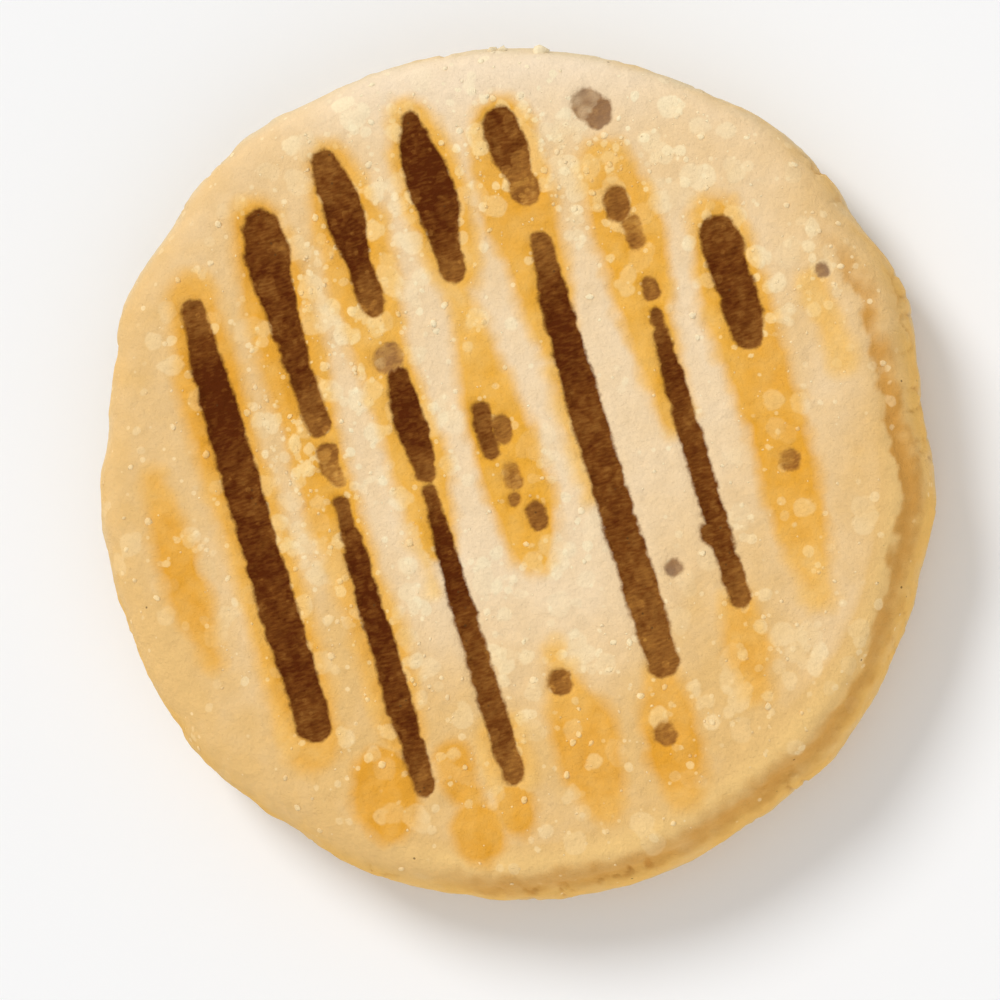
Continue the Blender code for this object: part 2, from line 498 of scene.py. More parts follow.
TOP_MARKS = (
    Streak(
        -3, -34.6, 27.8,
        widths=(3.2, 4.4, 4.9, 5.1, 5.1, 4.7, 5.2, 5.2, 4.9, 4.8),
        sides=(0.1, 0.0, 0.0, 0.0, 0.0, 0.0, 0.0, 0.1, 0.35, 0.45),
        tones=(0.55, 1.0, 1.0, 0.83, 0.9, 0.95, 0.8, 0.93, 0.7),
    ),
    Streak(
        -2, -43.4, -11.3,
        widths=(5.2, 6.2, 5.3, 4.2, 4.0, 3.5, 3.4, 3.3),
        sides=(0.15, 0.1, -0.3, -0.3, -0.2, -0.1, 0.1, 0.35),
        tones=(0.7, 0.85, 0.9, 0.8, 0.8, 0.5),
    ),
    Streak(-2, -10.4, -4.0, (2.8, 2.4, 1.9), (0.5, 0.2, 0.9), (0.36, 0.2)),
    Streak(
        -2, -3.0, 38.9,
        widths=(1.9, 2.8, 3.1, 3.5, 3.3, 3.6, 3.1, 3.0),
        sides=(0.3, 0.3, 0.25, 0.3, 0.4, 0.3, 0.4, 0.4),
        tones=(0.5, 0.85, 0.9, 1.0, 0.85, 0.8, 0.85, 0.5),
    ),
    Streak(
        -1, -48.6, -24.7,
        widths=(3.6, 4.5, 5.2, 5.3, 4.1, 3.2, 3.7, 3.3),
        sides=(-1.0, -0.7, -0.3, -0.35, -0.3, -0.35, -0.1, 0.05),
        tones=(0.55, 0.75, 0.9, 0.95, 0.8, 0.45),
    ),
    Streak(-1, -20.6, -16.6, (4.0,), (0.1,), (0.12,), 0.3),
    Streak(
        -1, -17.3, -1.1,
        widths=(2.9, 3.9, 4.2, 3.7, 2.9),
        sides=(0.55, 0.35, 0.4, 0.5, 0.6),
        tones=(0.8, 0.95, 0.9, 0.5),
    ),
    Streak(
        -1, -0.8, 40.9,
        widths=(1.9, 2.7, 2.9, 3.1, 3.0, 3.3, 3.3, 3.1),
        sides=(0.3, 0.2, 0.12, 0.15, 0.3, 0.22, 0.28, 0.42),
        tones=(0.6, 1.0, 0.95, 0.72, 0.62, 0.6, 0.72, 0.4),
    ),
    Streak(
        0, -49.8, -25.6,
        widths=(2.4, 4.3, 5.8, 6.2, 5.8, 4.4, 3.6, 3.3),
        sides=(-0.1, -0.35, -0.15, 0.1, 0.3, 0.0, -0.2, -0.05),
        tones=(0.85, 1.0, 1.0, 0.95, 0.75, 0.45),
    ),
    Streak(0, -9.4, -1.3, (2.5, 2.7, 2.3), (-1.9, -2.2, -2.1), (0.6, 0.7, 0.5)),
    Streak(0, -6.9, -3.0, (2.5,), (0.1,), (0.3,)),
    Streak(0, -0.2, 3.4, (2.3,), (-0.2,), (0.16,)),
    Streak(0, 3.8, 5.7, (1.7,), (-1.0,), (0.25,)),
    Streak(0, 5.7, 9.5, (2.7,), (1.3,), (0.4,)),
    Streak(0, 27.9, 31.5, (2.9,), (-2.0,), (0.3,)),
    Streak(1, -46.7, -35.7, (4.6, 5.1, 4.8, 3.6), (-0.6, -0.4, -0.15, 0.0), (0.85, 0.75, 0.55)),
    Streak(1, -37.0, -32.6, (4.0,), (0.3,), (0.28,)),
    Streak(
        1, -28.7, 33.4,
        widths=(2.8, 4.0, 4.2, 4.6, 4.8, 4.5, 4.6, 4.7, 4.6, 4.2),
        sides=(0.3, -0.2, -0.2, -0.28, -0.28, -0.22, -0.2, -0.1, 0.0, 0.0),
        tones=(0.45, 0.9, 0.9, 0.78, 0.7, 0.75, 0.7, 0.64, 0.52, 0.4),
    ),
    Streak(1, 39.0, 42.0, (2.9,), (-2.3,), (0.2,)),
    Streak(2, -31.7, -26.7, (3.2,), (-0.4,), (0.5, 0.6)),
    Streak(2, -27.0, -22.4, (2.3,), (0.7,), (0.24,)),
    Streak(2, -18.3, -15.3, (2.3,), (0.7,), (0.3,)),
    Streak(
        2, -14.3, 27.6,
        widths=(1.7, 2.7, 3.0, 3.2, 3.0, 3.1, 3.0, 3.0),
        sides=(0.4, 0.3, 0.2, 0.2, 0.22, 0.2, 0.2, 0.35),
        tones=(0.5, 0.9, 0.74, 0.7, 0.74, 0.8, 0.72, 0.45),
    ),
    Streak(2, 15.2, 18.4, (2.2,), (-1.1,), (0.6,)),
    Streak(
        3, -23.6, -5.0,
        widths=(5.0, 5.5, 4.9, 5.2, 5.1, 3.8),
        sides=(-0.5, -0.4, -0.4, -0.3, -0.3, -0.5),
        tones=(0.65, 0.85, 0.8, 0.6),
    ),
    Streak(3, 9.2, 12.1, (2.6,), (0.0,), (0.22,)),
    Streak(2, -45.4, -41.2, (4.6,), (-0.5,), (0.15,), 0.9),
    Streak(2, -43.8, -39.7, (4.0,), (0.6,), (0.35,), 0.65),
    Streak(1, 18.7, 21.0, (2.4,), (5.1,), (0.15,), 0.9),
    Streak(4, -13.2, -11.2, (1.6,), (-0.5,), (0.3,), 0.8),
)

TOP_PATCHES = (
    Streak(
        -4, -14.4, 14.6,
        widths=(3.8, 4.9, 5.6, 5.4, 3.2),
        sides=(0.6, 0.6, 0.6, 1.0, 1.6),
        tones=(0.62, 0.8, 0.95, 0.8, 0.7),
    ),
    Streak(
        -3, -38.3, 32.0,
        widths=(7.2, 9.0, 8.9, 9.4, 9.2, 9.6, 8.3),
        sides=(0.4, -0.4, -0.8, 0.0, 0.1, -0.2, -0.5),
        tones=(0.7, 0.85, 0.75, 0.65, 0.65, 0.65, 0.65),
    ),
    Streak(
        -2, -45.2, 33.2,
        widths=(7.4, 10.0, 9.2, 7.6, 7.6, 7.2, 7.8, 6.8),
        sides=(-0.4, -0.3, -0.5, -1.0, -1.0, -0.5, 0.3, -0.3),
        tones=(0.7, 0.82, 0.82, 0.8, 0.85, 0.6, 0.64, 0.6),
    ),
    Streak(
        -1, -49.4, 9.4,
        widths=(7.2, 10.2, 9.6, 7.8, 7.8, 8.6, 5.8),
        sides=(-0.4, 0.0, -0.3, -0.7, -0.5, 0.2, -0.8),
        tones=(0.65, 0.76, 0.78, 0.76, 0.66, 0.74, 0.74),
    ),
    Streak(-1, 3.0, 14.0, (2.8, 1.8), (-2.8,), (0.45, 0.3)),
    Streak(-1, 31.0, 43.0, (7.5,), (0.2,), (0.5,)),
    Streak(
        0, -51.9, -23.5,
        widths=(6.0, 8.8, 9.4, 8.8, 6.6),
        sides=(-0.2, 0.0, 0.3, 0.5, 0.4),
        tones=(0.6, 0.66, 0.7, 0.66, 0.6),
    ),
    Streak(
        0, -25.8, 15.0,
        widths=(4.2, 6.0, 7.2, 9.2, 8.8, 6.6),
        sides=(-0.4, -0.3, -0.5, 0.0, 0.0, -0.3),
        tones=(0.6, 0.72, 0.86, 0.9, 0.9, 0.8),
    ),
    Streak(
        0, 24.3, 49.7,
        widths=(3.8, 5.6, 9.2, 8.4, 4.8),
        sides=(-1.6, -1.4, -0.9, -0.9, -0.9),
        tones=(0.55, 0.7, 0.85, 0.85, 0.7),
    ),
    Streak(
        1, -48.3, -11.0,
        widths=(8.6, 10.0, 10.4, 8.4, 7.2, 6.0),
        sides=(-0.4, -0.9, -1.3, -1.1, -1.4, -1.4),
        tones=(0.62, 0.82, 0.86, 0.8, 0.8, 0.62),
    ),
    Streak(1, -11.5, 8.6, (3.2, 3.2, 2.8), (-2.7,), (0.55, 0.45)),
    Streak(1, 30.8, 50.8, (5.2, 7.6, 7.8, 5.2), (-0.8, -1.4, -1.9, -2.1), (0.6, 0.8, 0.95, 0.7)),
    Streak(
        2, -38.6, 2.8,
        widths=(7.6, 9.8, 9.2, 7.2, 6.0, 5.2),
        sides=(-0.6, 0.0, 0.1, -0.8, -1.0, -1.1),
        tones=(0.65, 0.84, 0.86, 0.82, 0.72, 0.66),
    ),
    Streak(2, 25.4, 40.6, (4.8, 6.5, 4.4), (0.0, -0.7, -1.0), (0.68, 0.78, 0.65)),
    Streak(
        3, -26.6, 31.4,
        widths=(7.4, 9.8, 9.2, 8.6, 8.0, 7.0, 4.8),
        sides=(-0.3, -0.8, -0.6, -0.5, -0.5, -1.0, -1.4),
        tones=(0.68, 0.74, 0.78, 0.85, 0.9, 0.85, 0.5),
    ),
    Streak(4, -13.0, 2.0, (4.4, 4.0), (-2.2, -1.4), (0.5,)),
    Streak(-2, 30.6, 43.4, (6.8, 8.8, 7.4), (-4.8,), (0.95,)),
    Streak(-1, 32.8, 42.0, (5.0,), (-6.6,), (0.88,)),
    Streak(-1, 41.5, 50.1, (6.6,), (-6.2,), (0.9,)),
    Streak(-1, 39.3, 48.0, (4.6,), (-0.4,), (0.9,)),
)


@dataclass(frozen=True)
class Grill:
    """A grill's straight rods and what they leave on one face of the cake, in mm.

    Attributes:
        pitch: From rod to rod.
        offset: How far the middle rod lies from the cake's middle.
        turn: How far the rods are turned from +Y, in degrees.
        marks: The char that the rods leave.
        patches: The golden patches round them.
        widen: How much wider than laid out the whole set lies.
        lengthen: How much longer than laid out it lies.
        slide: How far it has slid along the rods.
        spacing: Between the discs that a streak is filled with.
        reach: How far from a streak its distance still counts.
    """

    pitch: float = 12.0
    offset: float = 1.1
    turn: float = 16.4
    marks: tuple[Streak, ...] = TOP_MARKS
    patches: tuple[Streak, ...] = TOP_PATCHES
    widen: float = 1.001
    lengthen: float = 1.009
    slide: float = 0.15
    spacing: float = 0.7
    reach: float = 6.0

    def axes(self) -> tuple[np.ndarray, np.ndarray]:
        """Unit directions across the rods and along them."""
        angle = math.radians(self.turn)
        cosine, sine = math.cos(angle), math.sin(angle)
        return np.array([cosine, sine]), np.array([sine, -cosine])

    def edge(
        self, places: np.ndarray, streaks: Iterable[Streak]
    ) -> tuple[np.ndarray, np.ndarray, np.ndarray]:
        """Measure how far places lie out of the nearest streak.

        Args:
            places: Places in mm, one row of x and y each.
            streaks: The marks or patches.

        Returns:
            For each place the distance out of the nearest streak in mm, negative inside and
            no more than the grill's reach, and that streak's tone and ash.
        """
        across, along = self.axes()
        side = places @ across / self.widen - self.offset
        length = places @ along / self.lengthen - self.slide
        edge = np.full(len(places), self.reach)
        tone, ash = np.zeros(len(places)), np.zeros(len(places))
        for streak in streaks:
            line = streak.rod * self.pitch
            wide = self.reach + max(streak.widths)
            near = (abs(side - line - streak.sides[0]) < wide) & (length > streak.start - wide)
            near &= length < streak.end + wide
            index = np.flatnonzero(near)
            for spot_side, spot_length, radius, spot_tone in streak.spine(self.spacing):
                away = np.hypot(side[index] - line - spot_side, length[index] - spot_length) - radius
                closer = away < edge[index]
                hit = index[closer]
                edge[hit], tone[hit], ash[hit] = away[closer], spot_tone, streak.ash
        return edge, tone, ash


def underside_streaks(
    seed: int = 11, rods: int = 3, radius: float = 46.0
) -> tuple[tuple[Streak, ...], tuple[Streak, ...]]:
    """Marks and patches of the hidden face, laid out by the same rods with chance runs.

    Args:
        seed: Of the chance.
        rods: How many rods touch on either side of the middle one.
        radius: Of the round area that they touch, in mm.

    Returns:
        The marks and the golden patches round them.
    """
    chance = np.random.default_rng(seed)
    halo = 3
    marks, patches = [], []
    for rod in range(-rods, rods + 1):
        reach = math.sqrt(radius**2 - (rod * Grill.pitch) ** 2)
        start = -reach + chance.uniform(0, 8)
        while start < reach - 8:
            end = min(start + chance.uniform(14, 46), reach - chance.uniform(0, 4))
            width = chance.uniform(2.8, 4.6)
            widths = tuple(width * chance.uniform(0.8, 1.15) for _ in range(5))
            tones = tuple(chance.uniform(0.6, 1.0) for _ in range(5))
            sides = tuple(chance.uniform(-0.4, 0.4) for _ in range(4))
            marks.append(Streak(rod, start, end, widths, sides, (0.5, *tones, 0.45)))
            patches.append(Streak(rod, start - halo, end + halo, (7.0, 9.2, 9.2, 7.0), sides, (0.7,)))
            start = end + chance.uniform(3, 14)
    return tuple(marks), tuple(patches)


# ---------------------------------------------------------------------------------------
# Finishes
# ---------------------------------------------------------------------------------------


@dataclass(frozen=True)
class CrustFinish:
    """Griddled maize crust: cream to tan, with golden patches, char, flecks and dark specks.

    Pitches, radii and heights are in mm.  A soft edge is given as the two distances from
    the patch's outline, in mm, between which its share goes from 0 to 1.
    """

    name: str = "maize_crust_finish"
    flour: Colour = tint(246, 225, 196)
    cream: Colour = tint(245, 216, 174)
    toasted: Colour = tint(233, 190, 123)
    # Rim strip on the shoulder inside the fold: golden, and brighter as painted light against the
    # shoulder's shade.
    lit_rind: Colour = tint(246, 203, 131)
    pale_side: Colour = tint(225, 203, 164)
    side: Colour = tint(240, 190, 105)
    # The fold's colour: browning with painted shade; it also paints shade into the side's cracks.
    fold: Colour = tint(212, 155, 76)
    pale_gold: Colour = tint(251, 211, 134)
    bright_gold: Colour = tint(237, 172, 59)
    deep_gold: Colour = tint(231, 163, 54)
    fleck: Colour = tint(255, 238, 198)
    tan_fleck: Colour = tint(255, 224, 168)
    gold_fleck: Colour = tint(255, 219, 152)
    speck: Colour = tint(92, 60, 28)
    ash: Colour = tint(160, 130, 100)
    char: tuple[tuple[float, Colour], ...] = (
        (0.0, tint(190, 133, 58)),
        (0.2, tint(166, 110, 46)),
        (0.45, tint(142, 90, 36)),
        (0.72, tint(117, 65, 19)),
        (1.0, tint(88, 37, 4)),
    )
    gold_edge: tuple[float, float] = (1.45, -1.45)
    glow_edge: tuple[float, float] = (2.4, 0.1)
    char_edge: tuple[float, float] = (0.42, -0.24)
    broad_edge: tuple[float, float] = (0.20, -0.22)
    small_edge: tuple[float, float] = (0.11, -0.14)
    meal_edge: tuple[float, float] = (0.05, -0.07)
    meal_pitch: float = 1.5
    meal_radius: float = 0.40
    speck_radii: tuple[float, float] = (0.23, 0.11)
    roughness: float = 0.78
    specular: float = 0.05
    stroke_pitch: float = 0.34
    stroke_stretch: tuple[float, float, float] = (0.3, 1.0, 1.0)
    stroke_turn: float = -0.28
    crumb_pitch: float = 1.25
    grain_pitch: float = 0.62
    grain_height: float = 0.12

    def material(self) -> bpy.types.Material:
        """Build the finish's nodes."""
        graph = Graph(bpy.data.materials.new(self.name))
        place = graph.place()
        shader = graph.shader("Principled BSDF")
        fine = graph.noise(place, self.grain_pitch * MM, 2.0, 0.6)
        sockets = {"Vector": place, "Scale": 1 / (self.meal_pitch * MM)}
        away = graph.node("ShaderNodeTexVoronoi", None, sockets, output="Distance") * self.meal_pitch
        chance = graph.node("ShaderNodeTexVoronoi", None, sockets, output="Color")
        sockets = {"Color": chance}
        picks = [graph.node("ShaderNodeSeparateColor", None, sockets, output=part) for part in range(3)]
        colour = self._dough(graph, fine)
        colour = self._gold(graph, colour, fine)
        seen = self._flecks(graph, fine, away, picks)
        golden = graph.channel(Channel.GOLD_EDGE).eased(0.8, -0.8)
        pale = graph.mix(graph.channel(Channel.TAN).clamped(), self.fleck, self.tan_fleck)
        colour = graph.mix(seen, colour, graph.mix(golden, pale, self.gold_fleck))
        charred = (graph.channel(Channel.MARK_EDGE) + 0.22 * fine).eased(*self.char_edge)
        strength = 0.6 + 0.4 * graph.channel(Channel.MARK_TONE).eased(-0.1, 0.3)
        colour = graph.mix(charred * strength, colour, self._burnt(graph, fine, seen))
        dots = away.eased(*self.speck_radii) * picks[2].below(0.055 + 0.07 * charred)
        colour = graph.mix(dots * 0.75, colour, self.speck)
        shade = 1.0 + 0.05 * fine * (1.0 + 1.2 * charred) + 0.05 * (picks[0] - 0.5)
        colour = graph.node("ShaderNodeVectorMath", {"operation": "SCALE"}, {0: colour, "Scale": shade})
        graph.feed(shader["Base Color"], colour)
        graph.feed(shader["Roughness"], self.roughness + 0.08 * fine - 0.08 * charred)
        shader["Specular IOR Level"].default_value = self.specular
        graph.feed(shader["Normal"], self._relief(graph, place))
        return graph.owner

    def _dough(self, graph: Graph, fine: Value) -> Value:
        """Plain crust: floury middle to toasted rim, a rim strip lit by painted light, the side, and its
        fold browned with painted shade.
        """
        tan = graph.channel(Channel.TAN) + 0.05 * fine
        colour = graph.mix(tan.clamped(), self.cream, self.toasted)
        # The rind strip: painted light that lifts the shaded shoulder.
        colour = graph.mix((tan - 1.0).clamped(), colour, self.lit_rind)
        colour = graph.mix((0.0 - tan).clamped(), colour, self.flour)
        side = graph.mix(graph.channel(Channel.TOAST).clamped(), self.pale_side, self.side)
        colour = graph.mix(graph.channel(Channel.WALL).clamped(), colour, side)
        # Share of the fold colour: browning with painted shade in the fold, and painted shade in the
        # side's cracks.
        crease = graph.channel(Channel.FOLD_BROWNING_AND_SHADE) + 0.08 * fine
        return graph.mix(crease.eased(0.05, 0.95), colour, self.fold)

    def _gold(self, graph: Graph, colour: Value, fine: Value) -> Value:
        """Golden patches with soft edges, deepest beside the char."""
        glow = graph.channel(Channel.MARK_EDGE).eased(*self.glow_edge)
        glow = glow * graph.channel(Channel.MARK_TONE).clamped()
        tone = graph.channel(Channel.GOLD_TONE) + 0.17 * glow + 0.05 * fine
        deep = graph.mix(graph.channel(Channel.TAN).clamped(), self.bright_gold, self.deep_gold)
        golden = graph.mix(tone.clamped(), self.pale_gold, deep)
        share = graph.channel(Channel.GOLD_EDGE).eased(*self.gold_edge) * (0.5 + 0.75 * tone)
        return graph.mix(share.clamped(), colour, golden)

    def _flecks(self, graph: Graph, fine: Value, away: Value, picks: list[Value]) -> Value:
        """Share of pale fleck: broad faint ones, small ones, and fine meal in loose cells."""
        broad = (graph.channel(Channel.BROAD_EDGE) + 0.10 * fine).eased(*self.broad_edge)
        small = (graph.channel(Channel.SMALL_EDGE) + 0.08 * fine).eased(*self.small_edge)
        broad = broad * graph.channel(Channel.BROAD_TONE)
        small = small * graph.channel(Channel.SMALL_TONE)
        size = self.meal_radius * (0.4 + 0.6 * picks[0])
        meal = (away - size).eased(*self.meal_edge)
        meal = meal * picks[1].below(0.5 * graph.channel(Channel.MEAL))
        meal = meal * (0.3 + 0.45 * picks[2])
        share = 1.0 - (1.0 - broad) * (1.0 - small) * (1.0 - meal)
        return share * (1.0 + 0.22 * fine)

    def _burnt(self, graph: Graph, fine: Value, seen: Value) -> Value:
        """Char: brown where it starts and ends, nearly black in its middle, lighter in spots."""
        along = graph.stretched(graph.place(), self.stroke_stretch, self.stroke_turn)
        strokes = graph.noise(along, self.stroke_pitch * MM, 1.0)
        tone = graph.channel(Channel.MARK_TONE) + 0.10 * fine + 0.34 * strokes - 0.34 * seen
        sockets = {"Fac": tone.clamped()}
        burnt = graph.node("ShaderNodeValToRGB", {"stops": self.char}, sockets, output="Color")
        return graph.mix(graph.channel(Channel.MARK_ASH).clamped(), burnt, self.ash)

    def _relief(self, graph: Graph, place: Value) -> Value:
        """Fine grain that is too small for the mesh."""
        crumb = graph.noise(place, self.crumb_pitch * MM, 1.0)
        flour = graph.noise(place, self.grain_pitch * 0.8 * MM, 3.0, 0.7)
        height = flour + 0.8 * crumb
        sockets = {"Height": height, "Distance": self.grain_height * MM, "Strength": 1.0}
        return graph.node("ShaderNodeBump", None, sockets, output="Normal")


# ---------------------------------------------------------------------------------------
# Pieces
# ---------------------------------------------------------------------------------------


def add_piece(name: str, mesh: bpy.types.Mesh, material: bpy.types.Material) -> bpy.types.Object:
    """Put a finished mesh in the scene, smooth, dressed, and riding on the cake's body."""
    mesh.shade_smooth()
    mesh.materials.append(material)
    piece = bpy.data.objects.new(name, mesh)
    bpy.context.scene.collection.objects.link(piece)
    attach(piece, BODY)
    return piece


@dataclass(frozen=True)
class Fleck:
    """One round pale spot on the crust, or one lobe of a broad one.

    Attributes:
        place: Its middle, in mm.
        radius: Its radius, in mm.
        tone: How pale it is, 0 to 1.
        broad: Whether it is a broad spot or a lobe of one.
    """

    place: Vector
    radius: float
    tone: float
    broad: bool


@dataclass(frozen=True)
class Drift:
    """A soft stretch of the crust that differs: its middle and half sizes in mm, and by how much."""

    x: float
    y: float
    wide: float
    tall: float
    share: float

    def spread(self, places: np.ndarray) -> np.ndarray:
        """How much it differs at each place, which is given in mm."""
        away = np.hypot((places[:, 0] - self.x) / self.wide, (places[:, 1] - self.y) / self.tall)
        return self.share * np.exp(-(away**2))


MEAL_DRIFTS = (
    Drift(-25.0, 14.0, 15.0, 26.0, 1.0),
    Drift(2.0, 42.0, 30.0, 12.0, 1.0),
    Drift(40.0, 24.0, 9.0, 11.0, 0.8),
    Drift(25.0, 44.0, 12.0, 9.0, 0.8),
    Drift(2.0, -32.0, 38.0, 18.0, 0.36),
    Drift(36.0, -28.0, 16.0, 16.0, 0.3),
)

TAN_DRIFTS = (
    Drift(-40.0, 35.0, 11.0, 14.0, -0.36),
    Drift(-31.0, 47.0, 11.0, 8.0, -0.3),
    Drift(20.0, 55.5, 13.0, 5.0, -0.6),
    Drift(-27.0, 28.0, 8.0, 8.0, 0.25),
    Drift(-38.0, -8.0, 8.0, 12.0, -0.22),
    Drift(-48.0, 9.0, 8.0, 16.0, -0.2),
    Drift(-32.0, -21.0, 7.0, 11.0, -0.55),
    Drift(-22.0, -21.0, 4.0, 9.0, 0.25),
    Drift(-47.0, -25.0, 8.0, 9.0, 0.2),
    Drift(-7.0, -15.0, 9.0, 9.0, -0.24),
    Drift(4.0, -48.0, 12.0, 6.0, -0.2),
    Drift(44.5, -21.0, 6.5, 10.0, -0.6),
    Drift(29.0, -16.0, 11.0, 12.0, 0.48),
    Drift(36.0, 11.0, 4.0, 14.0, 0.4),
    Drift(45.5, 12.0, 3.0, 8.0, -0.25),
    Drift(3.0, 36.0, 20.0, 11.0, 0.45),
    Drift(25.0, 40.0, 14.0, 8.0, 0.32),
)


@dataclass(frozen=True)
class Toasting:
    """How far the crust is toasted, by place on the griddled faces and by direction on the side.

    Sizes are in mm and directions in degrees.  A reach is the pair of distances between
    which a share goes from 0 to 1.
    """

    pale_middle: tuple[float, float] = (7.3, 7.4)
    pale_stretch: float = 0.5
    pale_reach: tuple[float, float] = (20.0, 50.0)
    flour_middle: tuple[float, float] = (-9.0, 57.0)
    flour_stretch: float = 2.2
    flour_reach: tuple[float, float] = (17.0, 3.0)
    flour_share: float = 0.66
    bank_middle: tuple[float, float] = (25.0, 39.0)
    bank_reach: tuple[float, float] = (18.0, 5.0)
    bank_share: float = 0.8
    # A golden strip on the shoulder inside the fold, made brighter as painted light against its shade.
    lit_rind_turn: float = 16.0
    lit_rind_reach: tuple[float, float] = (64.0, 48.0)
    lit_rind_radius: float = 53.5
    lit_rind_width: float = 1.7
    underside: float = 0.75
    pale_pole: float = 95.0
    pole_reach: tuple[float, float] = (20.0, 145.0)
    pole_skew: float = 1.6
    belly_height: float = 4.8
    belly_width: float = 3.0
    foot_reach: tuple[float, float] = (1.8, 0.3)
    drifts: tuple[Drift, ...] = TAN_DRIFTS

    def tan(self, places: np.ndarray, turn: np.ndarray, upper: np.ndarray) -> np.ndarray:
        """Share of tan on the faces: -1 floury, 0 cream, 1 toasted, 2 as the rind strip lit by painted
        light.

        Args:
            places: Of the crust's vertices, in mm.
            turn: Direction of each from the middle of the crease, in degrees.
            upper: Whether each is above the belly.

        Returns:
            One share a vertex.
        """
        offset = places[:, :2] - np.array(self.pale_middle)
        offset[:, 1] *= np.where(offset[:, 1] < 0, 1.0, self.pale_stretch)
        spread = np.hypot(offset[:, 0], offset[:, 1])
        across = (places[:, 0] - self.flour_middle[0]) / self.flour_stretch
        floury = ease(np.hypot(across, places[:, 1] - self.flour_middle[1]), *self.flour_reach)
        radius = np.hypot(places[:, 0], places[:, 1])
        ring = np.exp(-(((radius - self.lit_rind_radius) / self.lit_rind_width) ** 2))
        # Painted light: a bright strip on the shoulder inside the fold, the side that faces away from the
        # key.
        lit_rind = ease(np.abs(turn + self.lit_rind_turn), *self.lit_rind_reach) * ring
        bank = np.hypot(places[:, 0] - self.bank_middle[0], places[:, 1] - self.bank_middle[1])
        bank = ease(bank, *self.bank_reach)
        tan = ease(spread, *self.pale_reach) * (1 - floury) * (1 - self.bank_share * bank)
        tan -= self.flour_share * floury
        tan += sum(drift.spread(places) for drift in self.drifts)
        return np.where(upper, tan + lit_rind, self.underside)

    def side(self, direction: np.ndarray, height: np.ndarray) -> np.ndarray:
        """Share of toast on the side, least round its pale pole and along its belly."""
        away = (direction - self.pale_pole + 180) % 360 - 180
        skewed = np.where(away < 0, self.pole_skew, 1.0) * np.abs(away)
        belly = np.exp(-(((height - self.belly_height) / self.belly_width) ** 2))
        return ease(skewed, *self.pole_reach) - 0.6 * belly + 0.5 * ease(height, *self.foot_reach)


@dataclass(frozen=True)
class FleckScatter:
    """Pale spots of coarse meal, in loose clusters with stray ones between.

    Attributes:
        clusters: How many clusters there are.
        most: One more than the most spots that a cluster has.
        spread: How far a cluster's spots stray from its middle, in mm.
        strays: How many spots stand alone.
        smallest: The least radius, in mm.
        largest: The greatest radius, in mm.
        broad: The radius from which a spot is broad, in mm.
        seed: Of the chance.
    """

    clusters: int = 240
    most: int = 9
    spread: float = 2.6
    strays: int = 460
    smallest: float = 0.32
    largest: float = 1.75
    broad: float = 0.85
    seed: int = 21

    def draw(self, places: np.ndarray, thickness: np.ndarray) -> list[Fleck]:
        """Scatter the spots.

        Args:
            places: Places of the crust's vertices, in mm.
            thickness: How thickly meal lies at each, 0 to 1.

        Returns:
            All the spots.
        """
        chance = np.random.default_rng(self.seed)
        flecks: list[Fleck] = []
        share = thickness**2 / (thickness**2).sum()
        hubs = chance.choice(len(places), self.clusters + self.strays, replace=False, p=share)
        for number, hub in enumerate(hubs):
            count = chance.integers(2, self.most) if number < self.clusters else 1
            for member in range(count):
                drift = chance.normal(0.0, self.spread, 3) if member else np.zeros(3)
                swell = chance.random() ** (1.6 if member == 0 and count > 1 else 3.2)
                radius = self.smallest + (self.largest - self.smallest) * swell
                tone = (0.3 + 0.9 * chance.random() ** 1.2) * (1.0 - 0.45 * swell)
                tone *= 0.25 + 0.75 * thickness[hub]
                middle = places[hub] + drift
                broad = radius >= self.broad
                flecks.append(Fleck(Vector(middle), radius, tone, broad))
                for _ in range(chance.integers(1, 4) if broad else 0):
                    lobe = middle + chance.normal(0.0, 0.5 * radius, 3)
                    flecks.append(Fleck(Vector(lobe), radius * chance.uniform(0.45, 0.75), tone, broad))
        return flecks

    def paint(
        self, tree: kdtree.KDTree, flecks: Iterable[Fleck], size: int
    ) -> tuple[np.ndarray, np.ndarray]:
        """Measure how far each vertex lies out of the nearest spot, and that spot's tone."""
        edge = np.full(size, 1.0)
        tone = np.zeros(size)
        for fleck in flecks:
            nearest, _, off = tree.find(fleck.place)
            if off > 3 * self.spread:
                continue
            for _, index, away in tree.find_range(nearest, fleck.radius + 1.0):
                if away - fleck.radius < edge[index]:
                    edge[index] = away - fleck.radius
                    tone[index] = fleck.tone
        return edge, tone


